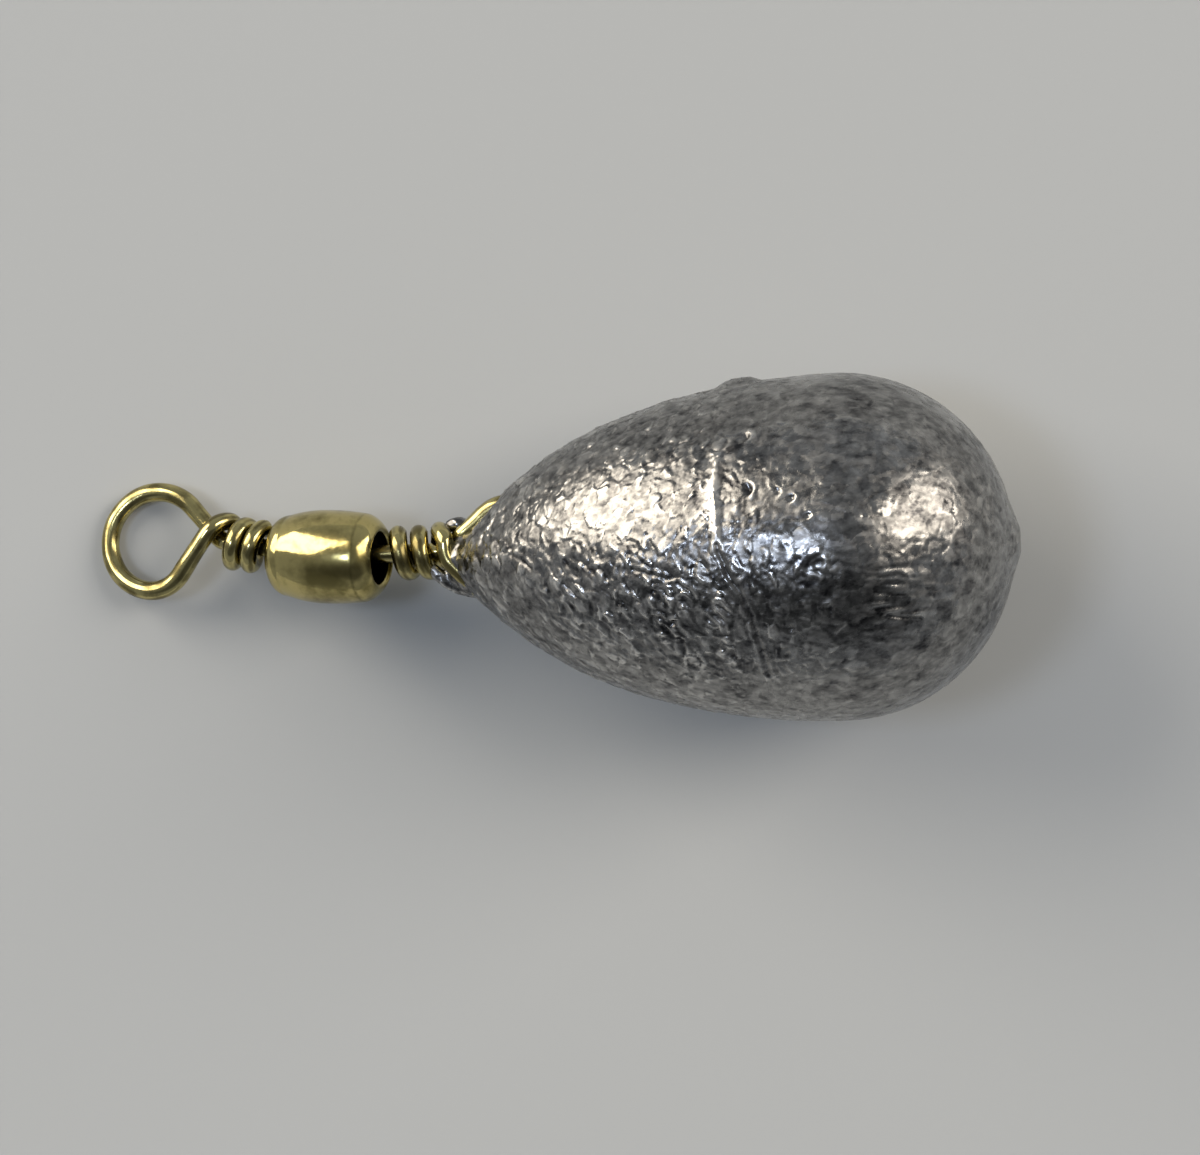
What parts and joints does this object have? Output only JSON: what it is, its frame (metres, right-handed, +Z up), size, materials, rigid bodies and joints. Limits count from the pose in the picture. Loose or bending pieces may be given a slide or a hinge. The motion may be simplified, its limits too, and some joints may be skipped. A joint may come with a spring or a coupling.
{
  "type": "fishing sinker",
  "caption": "Teardrop casting sinker of cast lead with a brass barrel swivel cast into its tip, lying on its side with the free line eye on the surface.",
  "frame": {"origin": "On the surface that the sinker lies on, under the middle of its bounding box.", "axes": "+X runs from the line eye to the fat end of the lead, +Z is up from the surface, +Y completes a right-handed frame."},
  "size_m": [0.0396, 0.0146, 0.0149],
  "materials": {
    "cast_lead": "cast lead, tumbled, dull grey oxide with bright rubbed spots",
    "brass_wire": "drawn brass wire, tarnished in the grooves",
    "brass_sleeve": "rolled and swaged brass, worn polish"
  },
  "bodies": {
    "sinker": {"lead_body": "cast_lead", "anchor_eye": "brass_wire"},
    "barrel": {"swivel_barrel": "brass_sleeve"},
    "free_eye": {"line_eye": "brass_wire"}
  },
  "joints": [
    {"name": "barrel_spin", "type": "hinge", "parent": "sinker", "child": "barrel", "pos_m": [-0.00967, 0.00038, 0.00326], "axis": [0.9379, -0.0574, 0.342], "continuous": true},
    {"name": "line_eye_spin", "type": "hinge", "parent": "barrel", "child": "free_eye", "pos_m": [-0.01112, 0.00063, 0.00288], "axis": [0.9346, -0.1698, 0.3127], "continuous": true}
  ]
}
